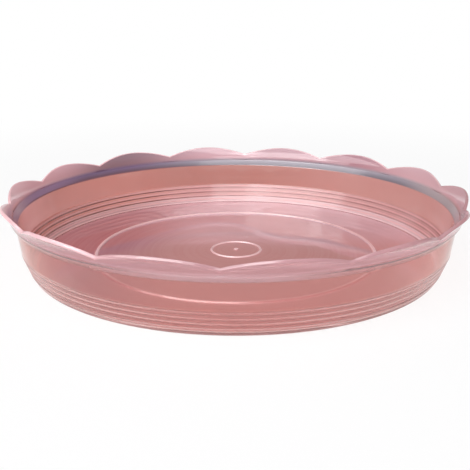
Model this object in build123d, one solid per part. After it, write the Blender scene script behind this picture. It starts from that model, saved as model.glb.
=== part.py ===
from build123d import *
import os
from math import cos, pi, radians, sin, sqrt, tan

# Plant saucer: one clear plastic moulding with a flared rim that is cut into petals.
# Millimetres, +Z up. The origin is the middle of the flat underside, and two rim notches lie on the Y axis.
# Each zone of the moulding is a closed solid, and neighbouring zones meet face to face.

# Overall sizes
overall_height = 39.1  # standing plane to the upper edge of a petal's tip
base_radius = 113.7  # where the ribbed wall's outer line would meet the standing plane

# Wall and floor
wall_thickness = 1.8  # measured level through the wall, and square to the surface in the rim
floor_thickness = 1.8
ribbed_draft = 20.3  # degrees that the ribbed lower wall leans out from upright
side_draft = 7.5  # degrees that the smooth wall above it leans out from upright
outer_corner_radius = 1.5  # round between the underside and the wall
inner_corner_radius = 1.2  # round between the floor and the wall

# Fine ribs round the outside of the lower wall
rib_count = 4
rib_pitch = 2.9  # upright distance between ribs
rib_offset = 0.3  # upright distance from the top of the corner to the lowest rib's edge
rib_width = 1.4
rib_height = 0.35  # how far a rib stands out of the wall

# Shoulder: the step that keeps stacked saucers from jamming
shoulder_rise = 3.0
shoulder_step = 2.6  # how far the wall steps out

# Rim: a flare that starts nearly upright at the shoulder and bends outwards
rim_rise = 9.1  # shoulder to the upper edge of a petal's tip
rim_lean = 8.0  # degrees from upright at the shoulder
rim_flare = 56.0  # degrees from upright at a petal's tip
petal_count = 14
notch_depth = 3.9  # upright distance from the outer edge of a tip to that of a notch

# Raised marks on the floor
pot_ring_radius = 79.5  # middle of the ring that the pot stands on
pot_ring_width = 2.6
pot_ring_flat = 1.4  # width of the ring's level top
pot_ring_height = 0.8
centre_ring_radius = 14.1
centre_ring_width = 1.7
centre_ring_height = 0.6
gate_radius = 1.3
gate_height = 0.7
gate_rounding = 0.4

# Values that follow from those above
draft = radians(ribbed_draft)
lean = radians(rim_lean)
flare = radians(rim_flare)
shoulder_top = overall_height - rim_rise
shoulder_bottom = shoulder_top - shoulder_rise


def ribbed_radius(height):
    """Radius of the ribbed wall's outer line at a height."""
    return base_radius + height * tan(draft)


class Corner:
    """A round between a level line and the ribbed wall's line: where it starts, its middle and where it ends."""

    def __init__(self, level, wall_radius, rounding):
        centre = (wall_radius - rounding * (1 - sin(draft)) / cos(draft), level + rounding)
        middle_angle = (draft - pi / 2) / 2 - draft
        self.start = (centre[0], level)
        self.middle = (centre[0] + rounding * cos(middle_angle), centre[1] + rounding * sin(middle_angle))
        self.end = (centre[0] + rounding * cos(draft), centre[1] - rounding * sin(draft))


outer_corner = Corner(0, ribbed_radius(0), outer_corner_radius)
inner_corner = Corner(floor_thickness, ribbed_radius(floor_thickness) - wall_thickness, inner_corner_radius)
floor_radius = min(outer_corner.start[0], inner_corner.start[0])
corner_top = max(outer_corner.end[1], inner_corner.end[1])
lowest_rib = corner_top + rib_offset + rib_width / 2
rib_heights = [lowest_rib + i * rib_pitch for i in range(rib_count)]
ribbed_top = rib_heights[-1] + rib_pitch / 2

# Outer radii of the wall where its zones meet
corner_top_radius = ribbed_radius(corner_top)
ribbed_top_radius = ribbed_radius(ribbed_top)
side_top_radius = ribbed_top_radius + (shoulder_bottom - ribbed_top) * tan(radians(side_draft))
rim_radius = side_top_radius + shoulder_step

# The flare is an arc in section: its outer surface starts at the shoulder's top and ends at a petal's tip
flare_radius = (rim_rise - wall_thickness * sin(flare)) / (sin(flare) - sin(lean))
flare_centre = (rim_radius + flare_radius * cos(lean), shoulder_top - flare_radius * sin(lean))
tip_radius = flare_centre[0] - flare_radius * cos(flare)
tip_height = flare_centre[1] + flare_radius * sin(flare)


class Bend:
    """An arc in a section, from the point before it through its middle to its end."""

    def __init__(self, middle, end):
        self.middle = middle
        self.end = end


def section(*corners):
    """An upright face inside an outline of points (radius, height) and bends."""
    edges = []
    here = corners[0]
    for corner in corners[1:] + corners[:1]:
        if isinstance(corner, Bend):
            edges.append(ThreePointArc(here, corner.middle, corner.end))
            here = corner.end
        elif corner != here:
            edges.append(Line(here, corner))
            here = corner
    return Plane.XZ * make_face(edges)


def ring(*corners):
    """A full turn of a section about the upright axis."""
    return revolve(section(*corners), Axis.Z)


def make_floor_panel():
    return Pos(0, 0, floor_thickness / 2) * Cylinder(floor_radius, floor_thickness)


def make_gate_nub():
    stud = Pos(0, 0, floor_thickness + gate_height / 2) * Cylinder(gate_radius, gate_height)
    return fillet(stud.edges().group_by(Axis.Z)[-1], gate_rounding)


def make_centre_ring():
    inside = (centre_ring_radius - centre_ring_width / 2, floor_thickness)
    outside = (centre_ring_radius + centre_ring_width / 2, floor_thickness)
    crown = (centre_ring_radius, floor_thickness + centre_ring_height)
    return ring(inside, outside, Bend(crown, inside))


def make_pot_ring():
    top = floor_thickness + pot_ring_height
    return ring(
        (pot_ring_radius - pot_ring_width / 2, floor_thickness),
        (pot_ring_radius + pot_ring_width / 2, floor_thickness),
        (pot_ring_radius + pot_ring_flat / 2, top),
        (pot_ring_radius - pot_ring_flat / 2, top),
    )


def make_base_corner():
    return ring(
        (floor_radius, 0),
        outer_corner.start,
        Bend(outer_corner.middle, outer_corner.end),
        (corner_top_radius, corner_top),
        (corner_top_radius - wall_thickness, corner_top),
        inner_corner.end,
        Bend(inner_corner.middle, inner_corner.start),
        (floor_radius, floor_thickness),
    )


def make_ribbed_wall():
    outer_line = []
    for height in rib_heights:
        lower, upper = height - rib_width / 2, height + rib_width / 2
        crown = (ribbed_radius(height) + rib_height * cos(draft), height - rib_height * sin(draft))
        outer_line.append((ribbed_radius(lower), lower))
        outer_line.append(Bend(crown, (ribbed_radius(upper), upper)))
    return ring(
        (corner_top_radius - wall_thickness, corner_top),
        (corner_top_radius, corner_top),
        *outer_line,
        (ribbed_top_radius, ribbed_top),
        (ribbed_top_radius - wall_thickness, ribbed_top),
    )


def make_side_wall():
    return ring(
        (ribbed_top_radius - wall_thickness, ribbed_top),
        (ribbed_top_radius, ribbed_top),
        (side_top_radius, shoulder_bottom),
        (side_top_radius - wall_thickness, shoulder_bottom),
    )


def make_shoulder_band():
    return ring(
        (side_top_radius - wall_thickness, shoulder_bottom),
        (side_top_radius, shoulder_bottom),
        (rim_radius, shoulder_top),
        (rim_radius - wall_thickness * cos(lean), shoulder_top + wall_thickness * sin(lean)),
    )


def make_petal_rim():
    """One petal is a wedge of the flare's outer surface. A level cylinder trims its edge to a bow between two
    notches, and the wall's thickness is then laid on inwards, so that the edge stays square to the surface."""
    petal_angle = 360 / petal_count
    flare_line = Plane.XZ * CenterArc(flare_centre, flare_radius, 180 - rim_lean, rim_lean - rim_flare)
    wedge = Rot(0, 0, -petal_angle / 2) * Face.revolve(flare_line.edge(), petal_angle, Axis.Z)

    notch_rise = tip_height - notch_depth - flare_centre[1]
    notch_radius = flare_centre[0] - sqrt(flare_radius**2 - notch_rise**2)
    half_span = notch_radius * sin(radians(petal_angle / 2))
    bow_radius = (half_span**2 + notch_depth**2) / (2 * notch_depth)
    bow = Plane.YZ.offset(rim_radius) * Cylinder(bow_radius, rim_radius)
    bow = Pos(0, 0, tip_height - bow_radius) * bow
    petal = thicken(wedge & bow, -wall_thickness)
    return Part() + [Rot(0, 0, k * petal_angle) * petal for k in range(petal_count)]


saucer = {
    "floor_panel": make_floor_panel(),
    "gate_nub": make_gate_nub(),
    "centre_ring": make_centre_ring(),
    "pot_ring": make_pot_ring(),
    "base_corner": make_base_corner(),
    "ribbed_wall": make_ribbed_wall(),
    "side_wall": make_side_wall(),
    "shoulder_band": make_shoulder_band(),
    "petal_rim": make_petal_rim(),
}

os.makedirs("parts", exist_ok=True)
for node, solid in saucer.items():
    export_step(solid, f"parts/{node}.step")
print(f"over the petals {2 * tip_radius:.1f} mm, height {overall_height:.1f} mm")
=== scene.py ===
from math import asin, atan2, cos, hypot, pi, radians, sin, sqrt, tan

import bmesh
import bpy
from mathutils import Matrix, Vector


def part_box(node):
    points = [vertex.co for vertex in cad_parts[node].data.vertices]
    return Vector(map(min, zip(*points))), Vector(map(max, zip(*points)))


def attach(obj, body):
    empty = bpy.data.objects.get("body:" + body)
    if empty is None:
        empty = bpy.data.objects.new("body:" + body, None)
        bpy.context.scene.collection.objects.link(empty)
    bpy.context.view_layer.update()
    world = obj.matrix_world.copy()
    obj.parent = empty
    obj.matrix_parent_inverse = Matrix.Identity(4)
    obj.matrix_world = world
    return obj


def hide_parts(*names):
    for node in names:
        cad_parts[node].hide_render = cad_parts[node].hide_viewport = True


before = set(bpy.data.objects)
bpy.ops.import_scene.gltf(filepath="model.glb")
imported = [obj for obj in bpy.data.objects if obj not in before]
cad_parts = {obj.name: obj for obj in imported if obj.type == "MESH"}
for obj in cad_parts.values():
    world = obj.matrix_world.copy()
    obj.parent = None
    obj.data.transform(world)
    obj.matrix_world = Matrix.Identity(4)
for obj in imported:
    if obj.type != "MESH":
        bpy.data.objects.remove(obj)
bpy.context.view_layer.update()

# A clear plastic plant saucer: one moulding, turned from its section, with the rim cut into petals.
# Lengths are in metres and angles in radians. The frame's boxes don't give these sizes.
WALL = 0.0018
RIBBED_DRAFT = radians(20.3)  # lean of the ribbed lower wall
RIBS = 4
RIB_PITCH = 0.0029
RIB_WIDTH = 0.0014
RIB_STAND = 0.00035
RIM_LEAN = radians(8)  # lean of the flare at the shoulder
RIM_FLARE = radians(56)  # lean of the flare at a petal's tip
PETALS = 14
NOTCH_DEPTH = 0.0039
CENTRE_RING_WIDTH = 0.0017
CENTRE_RING_FLAT = 0.00068
POT_RING_WIDTH = 0.0026
POT_RING_FLAT = 0.0014

# Rounds at corners and edges
OUTER_CORNER = 0.0015  # between the underside and the wall
INNER_CORNER = 0.0012  # between the floor and the wall
GATE_ROUND = 0.0004
GATE_FOOT_ROUND = 0.0003
RING_ROUND = 0.0003
RING_FOOT_ROUND = 0.0004
RIB_ROUND = 0.0004
RIB_FOOT_ROUND = 0.0002
RIB_ALLOWANCE = 1.4  # a rib is drawn this much too high, and the round at its crown takes the rest off
BEND_ROUND = 0.0012  # where the wall changes its lean
INNER_BEND_ROUND = 0.0020  # the same, inside above the ribs
RIM_FOOT_ROUND = 0.0010
INNER_RIM_FOOT_ROUND = 0.0014
RIM_EDGE_ROUND = 0.0005

# Fineness of the mesh
STEPS_PER_PETAL = 20
FLARE_STEPS = 10
ROUND_STEPS = 4
CORNER_STEPS = 8
RIB_FOOT_STEPS = 3
HOLD = 0.0002  # a point this far from each round keeps the flats flat
SAME_POINT = 1e-6

# The cut of the petals
EDGE_LAYER = "rim_edge"
EDGE_ZONE = 0.0008  # this much of the flare, at its edge, moves as one
CUT_START = 0.0012  # above the shoulder's top
EDGE_TRIES = 6  # each try brings the rim's edge closer to its bow

# Sizes that the frame gives
floor_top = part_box("floor_panel")[1].z
gate_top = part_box("gate_nub")[1]
centre_ring_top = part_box("centre_ring")[1]
pot_ring_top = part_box("pot_ring")[1]
corner_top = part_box("base_corner")[1]
ribbed_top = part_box("ribbed_wall")[1]
side_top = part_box("side_wall")[1]
rim_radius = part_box("shoulder_band")[1].x
shoulder_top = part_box("petal_rim")[0].z
overall_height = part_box("petal_rim")[1].z

# Values that follow from those above
centre_ring_radius = centre_ring_top.x - CENTRE_RING_WIDTH / 2
pot_ring_radius = pot_ring_top.x - POT_RING_WIDTH / 2
top_rib = ribbed_top.z - RIB_PITCH / 2

# The rim's flare is an arc in section, about a centre outside the saucer
flare_outer = (overall_height - shoulder_top - WALL * sin(RIM_FLARE)) / (sin(RIM_FLARE) - sin(RIM_LEAN))
flare_centre = Vector((
    rim_radius + flare_outer * cos(RIM_LEAN),
    shoulder_top - flare_outer * sin(RIM_LEAN),
))

# A petal's edge, seen square on, is a bow between two notches
petal_angle = 2 * pi / PETALS
notch_bend = asin(sin(RIM_FLARE) - NOTCH_DEPTH / flare_outer)
half_petal = (flare_centre.x - flare_outer * cos(notch_bend)) * sin(petal_angle / 2)
bow_radius = (half_petal**2 + NOTCH_DEPTH**2) / (2 * NOTCH_DEPTH)


def ribbed_radius(height):
    """Radius of the ribbed wall's outer line at a height."""
    return corner_top.x + (height - corner_top.z) * tan(RIBBED_DRAFT)


class Section:
    """Half the saucer's section: a chain of edges from the axis on top round to the axis below."""

    def __init__(self, bm):
        self.bm = bm
        self.last = None
        self.rounds = []

    def corner(self, radius, height, rounding=0.0, steps=ROUND_STEPS):
        """Draws the chain on to a new corner."""
        vert = self.bm.verts.new((radius, 0, height))
        if self.last:
            self.bm.edges.new((self.last, vert))
        self.end_at(vert, rounding, steps)

    def flare(self, sweep, rounding):
        """Draws the chain on along the rim's flare."""
        pivot = (flare_centre.x, 0, flare_centre.y)
        arc = bmesh.ops.spin(
            self.bm, geom=[self.last], cent=pivot, axis=(0, 1, 0), angle=sweep, steps=FLARE_STEPS,
        )
        self.end_at(arc["geom_last"][0], rounding, ROUND_STEPS)

    def end_at(self, vert, rounding, steps):
        """Keeps the chain's end, and the round that it gets once the chain is drawn."""
        self.last = vert
        if rounding:
            self.rounds.append((vert, rounding, steps))

    def round_corners(self):
        """Rounds the corners, and adds a point on the flats beside each round."""
        arcs = [self.rounded(*corner) for corner in self.rounds]
        for arc in arcs:
            for vert in arc:
                for edge in list(vert.link_edges):
                    if edge.other_vert(vert) not in arc:
                        share = min(HOLD / edge.calc_length(), 1 / 3)
                        bmesh.utils.edge_split(edge, vert, share)

    def rounded(self, vert, rounding, steps):
        before, after = [edge.other_vert(vert).co - vert.co for edge in vert.link_edges]
        reach = rounding / tan(before.angle(after) / 2)
        arc = bmesh.ops.bevel(
            self.bm, geom=[vert], offset=reach, offset_type="OFFSET", affect="VERTICES",
            segments=steps, profile=0.5, material=-1,
        )
        return arc["verts"]


def draw_section(bm):
    line = Section(bm)
    line.corner(0, gate_top.z)
    line.corner(gate_top.x, gate_top.z, GATE_ROUND)
    line.corner(gate_top.x, floor_top, GATE_FOOT_ROUND)
    draw_ring(line, centre_ring_radius, centre_ring_top.z, CENTRE_RING_WIDTH, CENTRE_RING_FLAT)
    draw_ring(line, pot_ring_radius, pot_ring_top.z, POT_RING_WIDTH, POT_RING_FLAT)
    line.corner(ribbed_radius(floor_top) - WALL, floor_top, INNER_CORNER, CORNER_STEPS)
    line.corner(ribbed_top.x - WALL, ribbed_top.z, INNER_BEND_ROUND)
    line.corner(side_top.x - WALL, side_top.z, BEND_ROUND)
    inner_rim_radius = rim_radius - WALL * cos(RIM_LEAN)
    line.corner(inner_rim_radius, shoulder_top + WALL * sin(RIM_LEAN), INNER_RIM_FOOT_ROUND)
    line.flare(RIM_FLARE - RIM_LEAN, RIM_EDGE_ROUND)
    outer_edge = flare_centre + flare_outer * Vector((-cos(RIM_FLARE), sin(RIM_FLARE)))
    line.corner(outer_edge.x, outer_edge.y, RIM_EDGE_ROUND)
    line.flare(RIM_LEAN - RIM_FLARE, RIM_FOOT_ROUND)
    line.corner(side_top.x, side_top.z, BEND_ROUND)
    line.corner(ribbed_top.x, ribbed_top.z, BEND_ROUND)
    for rib in range(RIBS):
        draw_rib(line, top_rib - rib * RIB_PITCH)
    line.corner(ribbed_radius(0), 0, OUTER_CORNER, CORNER_STEPS)
    line.corner(0, 0)
    line.round_corners()


def draw_ring(line, radius, top, width, flat):
    """A raised ring on the floor, drawn outwards."""
    line.corner(radius - width / 2, floor_top, RING_FOOT_ROUND)
    line.corner(radius - flat / 2, top, RING_ROUND)
    line.corner(radius + flat / 2, top, RING_ROUND)
    line.corner(radius + width / 2, floor_top, RING_FOOT_ROUND)


def draw_rib(line, height):
    """A fine rib round the outside of the lower wall, drawn downwards."""
    high = height + RIB_WIDTH / 2
    low = height - RIB_WIDTH / 2
    peak = RIB_STAND * RIB_ALLOWANCE
    line.corner(ribbed_radius(high), high, RIB_FOOT_ROUND, RIB_FOOT_STEPS)
    line.corner(
        ribbed_radius(height) + peak * cos(RIBBED_DRAFT), height - peak * sin(RIBBED_DRAFT), RIB_ROUND
    )
    line.corner(ribbed_radius(low), low, RIB_FOOT_ROUND, RIB_FOOT_STEPS)


def edge_bend(angle):
    """How far the flare bends at the rim's edge, at an angle round the saucer."""
    aside = (angle + petal_angle / 2) % petal_angle - petal_angle / 2
    bend = RIM_FLARE
    for _ in range(EDGE_TRIES):
        across = (flare_centre.x - flare_outer * cos(bend)) * sin(aside)
        drop = bow_radius - sqrt(max(bow_radius**2 - across**2, 0))
        bend = asin(sin(RIM_FLARE) - drop / flare_outer)
    return bend


def scallop(vert):
    """Slides a rim vertex down the flare, so that the rim's edge follows its petal. Gives 1 on the edge
    itself, and 0 elsewhere."""
    angle = atan2(vert.co.y, vert.co.x)
    across = flare_centre.x - hypot(vert.co.x, vert.co.y)
    rise = vert.co.z - flare_centre.y
    bend = atan2(rise, across)
    reach = hypot(rise, across)
    share = (bend - RIM_LEAN) / (RIM_FLARE - EDGE_ZONE / flare_outer - RIM_LEAN)
    bend -= (RIM_FLARE - edge_bend(angle)) * min(max(share, 0), 1)
    radius = flare_centre.x - reach * cos(bend)
    vert.co = Vector((radius * cos(angle), radius * sin(angle), flare_centre.y + reach * sin(bend)))
    return float(share > 1)


def make_moulding():
    """The whole saucer, turned from its section, with the rim cut into petals."""
    bm = bmesh.new()
    draw_section(bm)
    section = bm.verts[:] + bm.edges[:]
    steps = PETALS * STEPS_PER_PETAL
    bmesh.ops.spin(bm, geom=section, axis=(0, 0, 1), angle=2 * pi, steps=steps, use_merge=True)
    bmesh.ops.remove_doubles(bm, verts=bm.verts, dist=SAME_POINT)
    on_edge = bm.verts.layers.float.new(EDGE_LAYER)
    for vert in bm.verts:
        if vert.co.z > shoulder_top + CUT_START:
            vert[on_edge] = scallop(vert)
    bmesh.ops.recalc_face_normals(bm, faces=bm.faces)
    return finish_mesh(bm, "saucer_moulding")


def finish_mesh(bm, name):
    for face in bm.faces:
        face.smooth = True
    mesh = bpy.data.meshes.new(name)
    bm.to_mesh(mesh)
    bm.free()
    piece = bpy.data.objects.new(name, mesh)
    bpy.context.scene.collection.objects.link(piece)
    return piece


class Wire:
    """A node's output. Maths on wires adds Math nodes, and node() adds any other node to the same tree."""

    def __init__(self, tree, socket=None):
        self.tree = tree
        self.socket = socket

    def node(self, kind, settings=None, inputs=None, output=0):
        made = self.tree.nodes.new(kind)
        for name, value in (settings or {}).items():
            setattr(made, name, value)
        for name, value in (inputs or {}).items():
            if isinstance(value, Wire):
                self.tree.links.new(value.socket, made.inputs[name])
            else:
                made.inputs[name].default_value = value
        return Wire(self.tree, made.outputs[output] if made.outputs else None)

    def other(self, output):
        """Another output of the same node."""
        return Wire(self.tree, self.socket.node.outputs[output])

    def maths(self, operation, *values):
        return self.node("ShaderNodeMath", {"operation": operation}, dict(enumerate(values)))

    def __add__(self, value):
        return self.maths("ADD", self, value)

    __radd__ = __add__

    def __sub__(self, value):
        return self.maths("SUBTRACT", self, value)

    def __rsub__(self, value):
        return self.maths("SUBTRACT", value, self)

    def __mul__(self, value):
        return self.maths("MULTIPLY", self, value)

    __rmul__ = __mul__

    def __truediv__(self, value):
        return self.maths("DIVIDE", self, value)

    def __pow__(self, value):
        return self.maths("POWER", self, value)

    def __abs__(self):
        return self.maths("ABSOLUTE", self)

    def at_least(self, value):
        return self.maths("MAXIMUM", self, value)

    def at_most(self, value):
        return self.maths("MINIMUM", self, value)

    def fold(self, span):
        """Distance from the nearest multiple of twice the span."""
        return self.maths("PINGPONG", self, span)

    def ramp(self, low, high):
        """0 up to low, 1 from high, and smooth between."""
        limits = {"Value": self, "From Min": low, "From Max": high}
        return self.node("ShaderNodeMapRange", {"interpolation_type": "SMOOTHSTEP"}, limits, "Result")

    def toward(self, goal, share):
        """This value where the share is 0, and the goal where it's 1."""
        return self + (goal - self) * share

    def noise(self, scale, detail, roughness=0.5):
        """Noise at this place."""
        values = {"Vector": self, "Scale": scale, "Detail": detail, "Roughness": roughness}
        return self.node("ShaderNodeTexNoise", None, values, "Fac")

    def blend(self, first, second):
        """A mix of two colours, by this wire."""
        return self.node("ShaderNodeMix", {"data_type": "RGBA"}, {0: self, 6: first, 7: second}, 2)

    def shader_mix(self, first, second):
        return self.node("ShaderNodeMixShader", None, {0: self, 1: first, 2: second})


def colour(red, green, blue):
    return (red, green, blue, 1.0)


WHITE = colour(1, 1, 1)


def new_material(name):
    material = bpy.data.materials.new(name)
    material.use_nodes = True
    material.node_tree.nodes.clear()
    return material, Wire(material.node_tree)


class Zones:
    """Where a point of the moulding lies: coordinates, and soft-edged shares of 0 to 1 for its zones."""

    MID_WALL = (0.0007, 0.0011)  # depths between which the outer surface gives way to the inner one

    def __init__(self, start):
        self.point = start.node("ShaderNodeTexCoord", output="Object")
        self.across = start.node("ShaderNodeSeparateXYZ", None, {0: self.point}, "X")
        self.along = self.across.other("Y")
        self.height = self.across.other("Z")
        self.radius = (self.across * self.across + self.along * self.along) ** 0.5
        self.aside = abs(self.across)
        self.left = 1 - self.across.ramp(-0.085, -0.02)
        self.back = self.along.ramp(-0.01, 0.06)
        self.find_unevenness()
        self.find_levels()
        self.find_surfaces()
        self.find_painted_wall_lines()
        self.find_ring_highlights_and_gate()

    def find_unevenness(self):
        """Cloudy plastic, flow lines from the gate, and fine turned lines."""
        outward_change = 6.0  # how fast the flow lines change from the gate outwards
        line_fineness = 60.0  # how much closer the turned lines lie than they are long
        across, along, radius = self.across, self.along, self.radius
        self.clouds = self.point.noise(scale=22.0, detail=3.0)
        spokes = {0: across / radius, 1: along / radius, 2: radius * outward_change}
        self.flow = radius.node("ShaderNodeCombineXYZ", None, spokes).noise(scale=9.0, detail=3.0)
        circles = {0: radius * line_fineness, 1: across, 2: along}
        turned = radius.node("ShaderNodeCombineXYZ", None, circles)
        self.turned_lines = turned.noise(scale=9.0, detail=4.0, roughness=0.6).ramp(0.35, 0.65)

    def find_levels(self):
        """The moulding's zones, from the floor up to the rim."""
        height = self.height
        self.in_floor = 1 - self.radius.ramp(corner_top.x - 0.0045, corner_top.x - 0.0025)
        self.below_side = (1 - height.ramp(ribbed_top.z - 0.0008, ribbed_top.z)) * (1 - self.in_floor)
        self.in_ribs = self.below_side * height.ramp(corner_top.z - 0.0006, corner_top.z)
        self.above_side = height.ramp(side_top.z - 0.0004, side_top.z + 0.0006)
        self.in_rim = height.ramp(shoulder_top + 0.0002, shoulder_top + 0.0026)

    def find_surfaces(self):
        """The inner and outer surfaces, told apart by the wall's outer line and by the flare's radius."""
        height, radius = self.height, self.radius
        ribbed_line = (height - ribbed_top.z) * tan(RIBBED_DRAFT)
        side_slope = (side_top.x - ribbed_top.x) / (side_top.z - ribbed_top.z)
        side_line = (height - ribbed_top.z) * side_slope
        step_slope = (rim_radius - side_top.x) / (shoulder_top - side_top.z)
        step_line = (height - side_top.z) * step_slope + (side_top.x - ribbed_top.x)
        outer_line = ribbed_line.at_most(side_line).at_least(step_line) + ribbed_top.x
        self.inner = (outer_line - radius).ramp(*self.MID_WALL) * (1 - self.in_floor)
        from_flare = ((flare_centre.x - radius) ** 2 + (height - flare_centre.y) ** 2) ** 0.5
        self.inner_rim = (from_flare - flare_outer).ramp(*self.MID_WALL)
        self.outer = (1 - self.inner) * (1 - self.in_floor)
        self.outer_wall = self.outer * (1 - self.above_side)
        floor_face = self.in_floor * height.ramp(floor_top * 0.4, floor_top * 0.6)
        self.inside = self.inner + floor_face

    def find_painted_wall_lines(self):
        """Each rib's pale top, a painted highlight, and the dark line just below it, painted shade, both
        uneven, and lines along the wall: painted highlights low on the inside and round the outside foot,
        and painted shade in the recess under the rim.
        """
        height = self.height
        from_rib = height - top_rib
        # The rib's pale top is a painted highlight and the dark line below it painted shade, deeper at the
        # left and on the inside, and fainter low down.
        self.crown_highlight = self.in_ribs * (1 - from_rib.fold(RIB_PITCH / 2).ramp(0.0001, 0.0006))
        crease_shade = self.in_ribs * (1 - (from_rib + 0.0010).fold(RIB_PITCH / 2).ramp(0.00005, 0.0005))
        depth = (0.35 + self.flow + 0.3 * self.left) * (0.5 + 0.5 * self.inner)
        low_fade = 0.3 + 0.7 * height.ramp(0.0040, 0.0055)
        self.crease_shade = crease_shade * depth * low_fade
        # Painted highlight: a pale band low on the inside of the wall.
        self.inner_foot_highlight = self.below_side * self.inner * (1 - height.ramp(0.0045, 0.0065))
        # Painted highlight: a pale band round the outside foot of the wall.
        self.outer_foot_highlight = self.outer * (1 - height.ramp(0.0016, 0.0028))
        # Painted shade: a dark line in the groove under the rim, on the outside and away from the middle
        # front and back.
        from_groove = abs(height - (shoulder_top + 0.0002))
        under_rim = (1 - from_groove.ramp(0.0003, 0.0009)) * (1 - self.inner_rim)
        self.groove_shade = under_rim * (1 - self.inner) * self.aside.ramp(0.02, 0.07)
        self.rim_edge = height.node("ShaderNodeAttribute", {"attribute_name": EDGE_LAYER}, None, "Fac")

    def find_ring_highlights_and_gate(self):
        """The rings, whose pale line is a painted highlight, finer and fainter at the front, and the gate,
        which gets the same pale colour.
        """
        height, radius, along = self.height, self.radius, self.along
        fineness = 1.7 - 0.7 * along.ramp(-0.05, -0.01)
        # Painted highlight: the pale lines along the rings.
        pot_ring_line = 1 - (abs(radius - pot_ring_radius) * fineness).ramp(0.0008, 0.0015)
        centre_ring_line = 1 - abs(radius - centre_ring_radius).ramp(0.0006, 0.0010)
        rings = (pot_ring_line + centre_ring_line) * height.ramp(floor_top - 0.0004, floor_top)
        gate = height.ramp(floor_top + 0.0001, floor_top + 0.0003) * (1 - radius.ramp(0.002, 0.003))
        self.ring_highlights_and_gate = rings * (0.25 + 0.75 * along.ramp(-0.06, -0.02)) + gate


# The inner side wall: the middle colour is the plastic's own, and the right, left and near-end colours are
# painted light and reflection.
def side_wall_tint(at):
    middle = colour(0.44, 0.11, 0.075)
    right = colour(0.53, 0.195, 0.165)
    left = colour(0.60, 0.135, 0.09)
    lit_near_ends = at.left.blend(colour(0.74, 0.43, 0.42), colour(1.0, 0.50, 0.49))
    tint = at.across.ramp(0.0, 0.08).blend(middle, right)
    sides = at.across.ramp(-0.03, 0.03).blend(left, tint)
    tint = at.aside.ramp(0.04, 0.10).blend(tint, sides)
    lit_near_share = at.aside.ramp(0.085, 0.110) * (1 - at.along.ramp(-0.02, 0.035))
    return lit_near_share.blend(tint, lit_near_ends)


# The floor's front colour is its own. The lighter back and back-right colours are a painted reflection,
# the darker left colour is painted shade, and the turned lines are the plastic's own.
def floor_tint(at):
    front = colour(0.57, 0.235, 0.225)
    back = colour(0.76, 0.44, 0.475)
    back_right = colour(0.60, 0.355, 0.395)
    left = colour(0.42, 0.15, 0.175)
    turned_lines = colour(0.74, 0.44, 0.46)
    tint = at.back.blend(front, back)
    tint = (at.back * at.across.ramp(0.02, 0.06)).blend(tint, back_right)
    tint = at.left.blend(tint, left)
    return (0.22 * at.turned_lines * at.clouds).blend(tint, turned_lines)


# The outside colour is the plastic's own. On the inner faces the change from left to right is painted
# light and reflection, with painted shade on the left petals and painted light on the far-left and
# near-left ones.
def petal_tint(at):
    outside = colour(0.72, 0.415, 0.45)
    middle = colour(0.68, 0.42, 0.47)
    right = colour(0.47, 0.24, 0.285)
    far_right = colour(0.71, 0.44, 0.48)
    left = colour(0.25, 0.135, 0.168)
    far_left = colour(0.78, 0.43, 0.47)
    near_left = colour(1.0, 0.66, 0.70)
    tint = at.across.ramp(-0.005, 0.02).blend(middle, right)
    tint = at.left.blend(tint, left)
    tint = (1 - at.across.ramp(-0.124, -0.088)).blend(tint, far_left)
    tint = at.across.ramp(0.075, 0.112).blend(tint, far_right)
    tint = (at.left * (1 - at.along.ramp(-0.02, 0.02))).blend(tint, near_left)
    return at.inner_rim.blend(outside, tint)


def shoulder_light_and_shade_tint(at):
    """Greyer than the rest on the inside, a painted reflection that is darker and bluer at the left and
    paler at the ends and near the front, and darkest at the step's foot, which is painted shade.
    """
    step = at.left.blend(colour(0.37, 0.35, 0.41), colour(0.175, 0.11, 0.235))
    # The step's dark foot is painted shade.
    foot = at.left.blend(colour(0.16, 0.145, 0.18), colour(0.10, 0.035, 0.055))
    ends = at.left.blend(colour(0.45, 0.385, 0.405), colour(0.29, 0.175, 0.31))
    near_left = colour(0.47, 0.30, 0.38)
    near_right = colour(0.58, 0.41, 0.45)
    # Painted shade: a dark line at the step's foot on the left, towards the back.
    foot_shade_line = colour(0.16, 0.055, 0.085)
    inside = at.height.ramp(side_top.z - 0.0002, shoulder_top + 0.0012).blend(foot, step)
    inside = at.aside.ramp(0.100, 0.120).blend(inside, ends)
    inside = (at.left * (1 - at.along.ramp(-0.02, 0.015))).blend(inside, near_left)
    inside = ((1 - at.left) * (1 - at.along.ramp(-0.035, -0.005))).blend(inside, near_right)
    at_foot = 1 - at.height.ramp(side_top.z + 0.0003, side_top.z + 0.0011)
    inside = (at.left * at.along.ramp(-0.02, 0.02) * at_foot).blend(inside, foot_shade_line)
    outside = at.aside.ramp(0.02, 0.07).blend(colour(0.66, 0.44, 0.49), colour(0.56, 0.26, 0.26))
    return at.inner.blend(outside, inside)


# Painted highlight along the rim's edge, lighter at the back and lightest at the left.
def rim_edge_highlight_tint(at):
    front = colour(0.57, 0.305, 0.325)
    back = colour(0.90, 0.62, 0.64)
    left = colour(1.0, 0.63, 0.66)
    return at.left.blend(at.along.ramp(-0.03, 0.06).blend(front, back), left)


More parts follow.
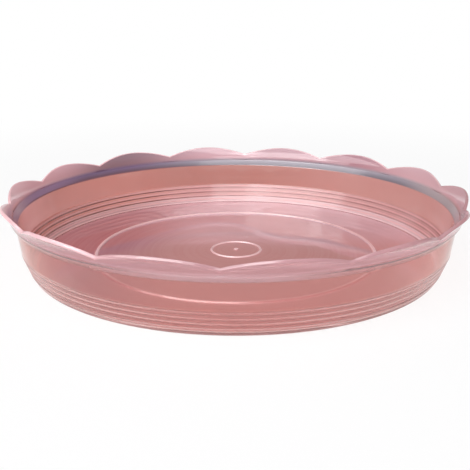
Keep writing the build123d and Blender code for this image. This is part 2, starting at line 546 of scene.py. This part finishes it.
def skin_tint(at):
    """Colour of the plastic's milky share, zone by zone. Most zones lay painted light, shade and
    reflection over the plastic's own colour.
    """
    outer_wall = colour(0.66, 0.16, 0.10)
    outer_ribs = colour(0.52, 0.20, 0.185)
    inner_ribs = at.left.blend(colour(0.60, 0.28, 0.28), colour(0.62, 0.19, 0.155))
    # Painted highlight low on the inside of the wall.
    inner_foot_highlight = at.left.blend(colour(0.80, 0.53, 0.56), colour(0.56, 0.28, 0.29))
    # Painted highlight on the rib crowns and painted shade in the creases.
    crown_highlight = colour(0.80, 0.45, 0.45)
    crease_shade = at.left.blend(colour(0.26, 0.09, 0.09), colour(0.09, 0.015, 0.01))
    # Painted shade in the groove under the rim.
    groove_shade = colour(0.14, 0.06, 0.08)
    # Painted highlight on the ring lines, also given to the gate.
    ring_highlights_and_gate = colour(0.88, 0.56, 0.57)
    # Painted highlight round the outside foot.
    outer_foot_highlight = colour(0.60, 0.31, 0.30)
    tint = at.inner.blend(outer_wall, side_wall_tint(at))
    tint = (at.in_ribs * (1 - at.inner)).blend(tint, outer_ribs)
    tint = (at.inner * at.below_side).blend(tint, inner_ribs)
    tint = at.inner_foot_highlight.blend(tint, inner_foot_highlight)
    tint = at.in_floor.blend(tint, floor_tint(at))
    tint = (at.crown_highlight * (0.15 + 0.65 * at.inner)).blend(tint, crown_highlight)
    tint = at.crease_shade.blend(tint, crease_shade)
    tint = at.above_side.blend(tint, shoulder_light_and_shade_tint(at))
    tint = at.in_rim.blend(tint, petal_tint(at))
    tint = at.groove_shade.blend(tint, groove_shade)
    tint = at.ring_highlights_and_gate.blend(tint, ring_highlights_and_gate)
    tint = at.rim_edge.blend(tint, rim_edge_highlight_tint(at))
    return at.outer_foot_highlight.blend(tint, outer_foot_highlight)


def clear_tint(at, edgewise):
    """Colour of the plastic's clear share, which is deeper where the wall is seen edge-on."""
    wall = edgewise.blend(colour(0.97, 0.75, 0.72), colour(0.88, 0.46, 0.38))
    rim = colour(0.86, 0.64, 0.66)
    return at.in_rim.blend(wall, rim)


def milk_share(at, edgewise):
    """Share of milky skin over clear plastic: least outside on the wall, most on the edges and on the
    painted highlight lines.
    """
    outer_wall = 0.03 + 0.03 * at.clouds
    outer_wall_edgewise = 0.65
    outer_ribs = 0.50
    outer_foot_highlight = 0.60
    inside = 0.72 + 0.06 * at.clouds + 0.06 * at.flow + 0.15 * (at.crown_highlight + at.crease_shade + at.in_floor)
    shoulder = 0.55 + 0.40 * at.inner
    rim = 0.45 + 0.45 * at.inner_rim
    groove_shade = 0.60
    highlight_lines = 0.95
    share = outer_wall.toward(outer_wall_edgewise, edgewise * at.outer_wall)
    share = share.toward(outer_ribs, at.outer_wall * at.in_ribs)
    share = share.toward(outer_foot_highlight, at.outer_foot_highlight)
    share = share.toward(inside, at.inside)
    share = share.toward(shoulder, at.above_side)
    share = share.toward(rim, at.in_rim)
    share = share.toward(groove_shade, at.groove_shade)
    return share.toward(highlight_lines, at.ring_highlights_and_gate + at.rim_edge)


def relief(at):
    """Soft waves in the surface, highest in the floor, and one gentle rise in the back of the floor."""
    wave_height = 0.0025
    wave_offset = (0.81, 0.25, 0.0)
    rise_height = 0.005
    shifted = at.point.node("ShaderNodeVectorMath", None, {0: at.point, 1: wave_offset})
    waves = shifted.noise(scale=12.0, detail=1.0) * (0.2 + 0.8 * at.in_floor) * wave_height
    ridge = 1 - abs(at.across + 0.02).ramp(0.0, 0.05)
    rise = at.along.ramp(-0.03, 0.07) * ridge * (1 - at.radius.ramp(0.075, 0.108))
    values = {"Height": waves + rise_height * rise, "Distance": 1.0, "Strength": 1.0}
    return at.point.node("ShaderNodeBump", None, values)


def rose_plastic():
    """Clear moulded plastic with a rose tint: a mix of clear plastic and milky skin, which only shows from
    outside the plastic. Rays that look for a lamp pass straight through, tinted."""
    refraction = 1.5
    floor_coat = 0.6
    shadow_tint = colour(0.85, 0.70, 0.68)
    material, start = new_material("rose_clear_plastic")
    at = Zones(start)
    edgewise = start.node("ShaderNodeLayerWeight", None, {"Blend": 0.5}, "Facing").ramp(0.45, 0.95)
    satin = at.inner * (at.below_side + at.above_side * (1 - at.in_rim))
    gloss = {
        "Roughness": 0.015 + 0.03 * at.clouds + 0.12 * satin,
        "IOR": refraction,
        "Normal": relief(at),
    }
    skin_values = {"Base Color": skin_tint(at), "Coat Weight": floor_coat * at.in_floor, **gloss}
    skin = start.node("ShaderNodeBsdfPrincipled", None, skin_values)
    clear_values = {"Base Color": clear_tint(at, edgewise), "Transmission Weight": 1.0, **gloss}
    clear = start.node("ShaderNodeBsdfPrincipled", None, clear_values)
    from_outside = milk_share(at, edgewise).shader_mix(clear, skin)
    in_plastic = start.node("ShaderNodeNewGeometry", output="Backfacing")
    plastic = in_plastic.shader_mix(from_outside, clear)
    see_through = start.node("ShaderNodeBsdfTransparent", None, {"Color": shadow_tint})
    lamp_ray = start.node("ShaderNodeLightPath", output="Is Shadow Ray")
    start.node("ShaderNodeOutputMaterial", None, {"Surface": lamp_ray.shader_mix(plastic, see_through)})
    return material


def seen_ray(start):
    """1 for rays that show the background: straight, in gloss or through clear plastic."""
    path = start.node("ShaderNodeLightPath", output="Is Camera Ray")
    return (path + path.other("Is Glossy Ray") + path.other("Is Transmission Ray")).ramp(0.0, 1.0)


def white_floor():
    """A floor that is seen as white, with a share of paint near the saucer that keeps its shadow."""
    paint_share = 0.16
    material, start = new_material("white_floor")
    paint_values = {"Base Color": colour(0.93, 0.93, 0.93), "Roughness": 0.9}
    paint = start.node("ShaderNodeBsdfPrincipled", None, paint_values)
    glow = start.node("ShaderNodeEmission", None, {"Color": WHITE, "Strength": 1.0})
    point = start.node("ShaderNodeTexCoord", output="Object")
    reach = start.node("ShaderNodeVectorMath", {"operation": "LENGTH"}, {0: point}, "Value")
    glow_share = (1 - paint_share) + paint_share * reach.ramp(0.15, 0.6)
    surface = (seen_ray(start) * glow_share).shader_mix(paint, glow)
    start.node("ShaderNodeOutputMaterial", None, {"Surface": surface})
    return material


def make_floor():
    below_saucer = -0.0002
    bm = bmesh.new()
    bmesh.ops.create_circle(bm, cap_ends=True, segments=96, radius=6.0)
    bmesh.ops.translate(bm, verts=bm.verts, vec=(0, 0, below_saucer))
    floor = finish_mesh(bm, "pale_floor")
    floor.data.materials.append(white_floor())
    return floor


def light_world():
    """White low down, dim and warm above that, and grey-blue overhead. As light it counts half."""
    as_light = 0.5
    warm = colour(0.27, 0.19, 0.17)
    overhead = colour(0.62, 0.64, 0.72)
    world = bpy.data.worlds.new("studio")
    bpy.context.scene.world = world
    world.use_nodes = True
    world.node_tree.nodes.clear()
    start = Wire(world.node_tree)
    direction = start.node("ShaderNodeTexCoord", output="Generated")
    up = start.node("ShaderNodeSeparateXYZ", None, {0: direction}, "Z")
    dome = up.ramp(0.45, 0.85).blend(warm, overhead)
    tone = up.ramp(0.06, 0.20).blend(WHITE, dome)
    level = seen_ray(start) * (1 - as_light) + as_light
    sky = start.node("ShaderNodeBackground", None, {"Color": tone, "Strength": level})
    start.node("ShaderNodeOutputWorld", None, {"Surface": sky})


def soft_box(name, middle, size, watts):
    """A rectangular lamp that faces the saucer."""
    data = bpy.data.lights.new(name, "AREA")
    data.shape = "RECTANGLE"
    data.size, data.size_y = size
    data.energy = watts
    lamp = bpy.data.objects.new(name, data)
    bpy.context.scene.collection.objects.link(lamp)
    lamp.location = middle
    lamp.rotation_euler = Vector(middle).to_track_quat("Z", "Y").to_euler()
    lamp.visible_camera = False
    return lamp


def light_saucer():
    """A key lamp, a fill lamp that stays out of the gloss, and two cards that show in the gloss alone."""
    soft_box("front_left", middle=(-0.45, -0.75, 0.95), size=(1.1, 0.8), watts=13.0)
    fill = soft_box("front_right", middle=(0.8, -0.6, 0.8), size=(0.6, 0.6), watts=3.5)
    fill.visible_glossy = False
    level_card = soft_box("gloss_card", middle=(-0.65, -0.42, 1.0), size=(1.8, 1.3), watts=26.0)
    level_card.rotation_euler = (0, 0, 0)
    low_card = soft_box("low_card", middle=(-0.45, -0.85, 0.60), size=(1.9, 0.42), watts=8.0)
    for card in (level_card, low_card):
        card.visible_diffuse = False
        card.visible_transmission = False


def place_camera():
    """A little above the rim, with a notch near the front."""
    elevation = radians(17.1)
    azimuth = radians(-86.92)
    distance = 0.4131
    look_at = Vector((-0.0006, 0, 0.01049))
    data = bpy.data.cameras.new("camera")
    data.lens = 55.06
    data.sensor_width = 36
    data.clip_start = 0.01
    camera = bpy.data.objects.new("camera", data)
    bpy.context.scene.collection.objects.link(camera)
    away = Vector((cos(elevation) * cos(azimuth), cos(elevation) * sin(azimuth), sin(elevation)))
    camera.location = look_at + away * distance
    camera.rotation_euler = away.to_track_quat("Z", "Y").to_euler()
    bpy.context.scene.camera = camera


moulding = make_moulding()
moulding.data.materials.append(rose_plastic())
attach(moulding, "root")
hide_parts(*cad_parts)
make_floor()

light_world()
light_saucer()
place_camera()
bpy.context.scene.view_settings.view_transform = "Standard"
